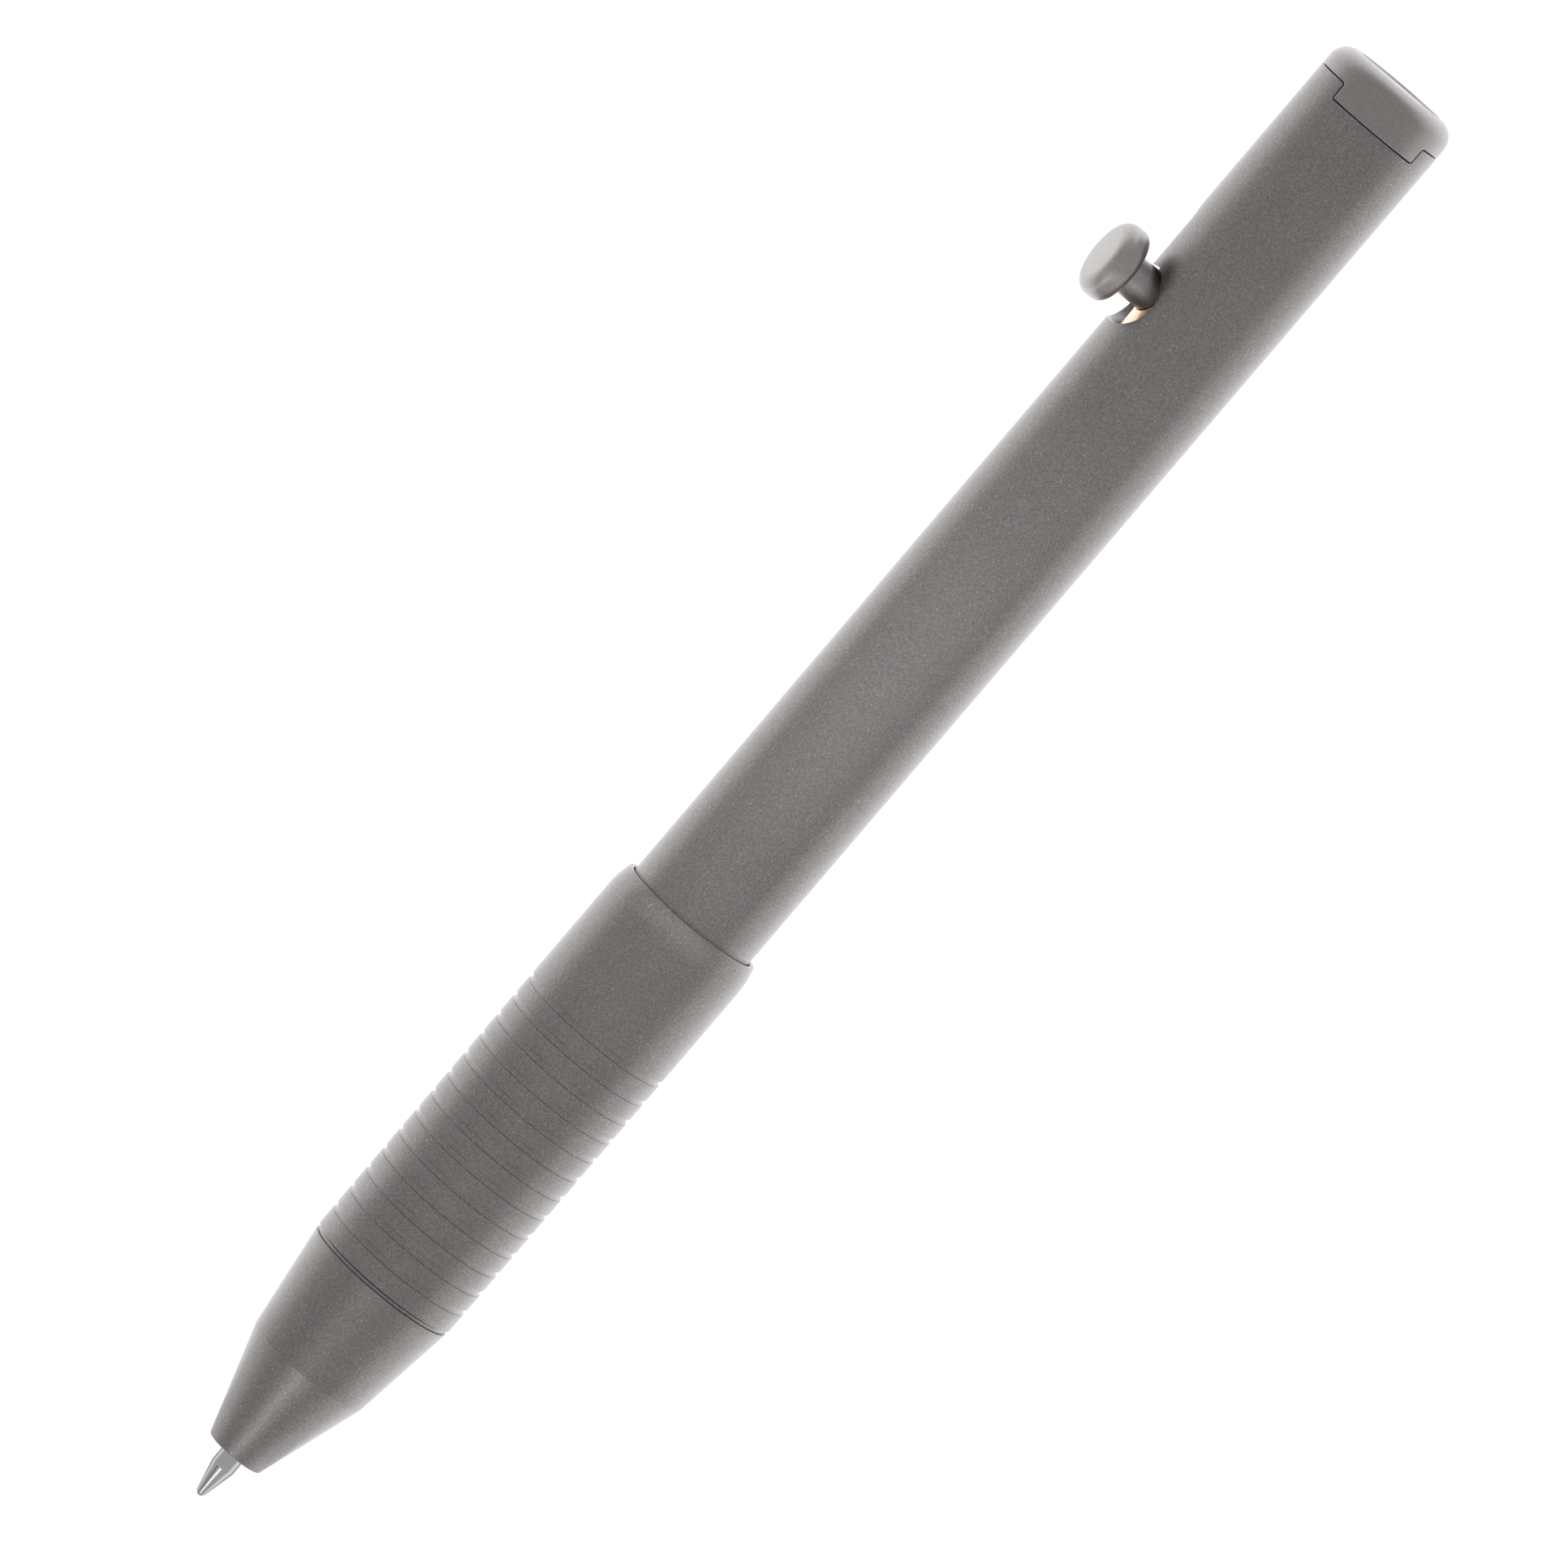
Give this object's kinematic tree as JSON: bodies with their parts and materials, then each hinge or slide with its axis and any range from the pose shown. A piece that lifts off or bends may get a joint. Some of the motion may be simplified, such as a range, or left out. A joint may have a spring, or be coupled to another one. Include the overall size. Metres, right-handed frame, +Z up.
{
  "type": "bolt-action pen",
  "caption": "Straight metal pen with a grooved grip sleeve, a cone nose, and a side bolt on a copper slider that turns in a J-slot to lock the refill out.",
  "frame": {"origin": "on the pen's axis, at the floor of the shallow dish in the cap's end face", "axes": "+X along the pen towards its writing tip, -Y to the long leg of the J-slot, +Z up from the surface that the pen lies on"},
  "size_m": [0.1431, 0.0164, 0.0135],
  "materials": {
    "titanium": "bead-blasted, matte",
    "copper": "turned, polished",
    "steel": "bright",
    "carbide": "ground",
    "clear_plastic": "extruded, translucent",
    "white_plastic": "moulded",
    "ink": "wet",
    "grease": "wet",
    "rubber": "moulded"
  },
  "bodies": {
    "shell": {"barrel": "titanium", "end_cap": "titanium", "cap_o_ring": "rubber", "grip_sleeve": "titanium", "nose_cone": "titanium", "nose_o_ring": "rubber", "return_spring": "steel"},
    "refill": {"refill_point": "steel", "refill_holder": "white_plastic", "refill_tube": "clear_plastic", "ink_column": "ink", "ink_follower": "grease", "refill_end_plug": "white_plastic"},
    "bolt": {"bolt_slider": "copper", "bolt_knob": "titanium"},
    "ball": {"writing_ball": "carbide"}
  },
  "joints": [
    {"name": "bolt_push", "type": "slide", "parent": "shell", "child": "refill", "axis": [1, 0, 0], "range_m": [0, 0.0016], "stiffness_N_per_m": 300, "springref_m": -0.0065, "deforming": ["return_spring"]},
    {"name": "bolt_turn", "type": "hinge", "parent": "refill", "child": "bolt", "pos_m": [0.02407, 0, 0], "axis": [1, 0, 0], "range_deg": [0, 26.6]},
    {"name": "ball_roll", "type": "hinge", "parent": "refill", "child": "ball", "pos_m": [0.14256, 0, 0], "axis": [0, 1, 0], "continuous": true}
  ]
}
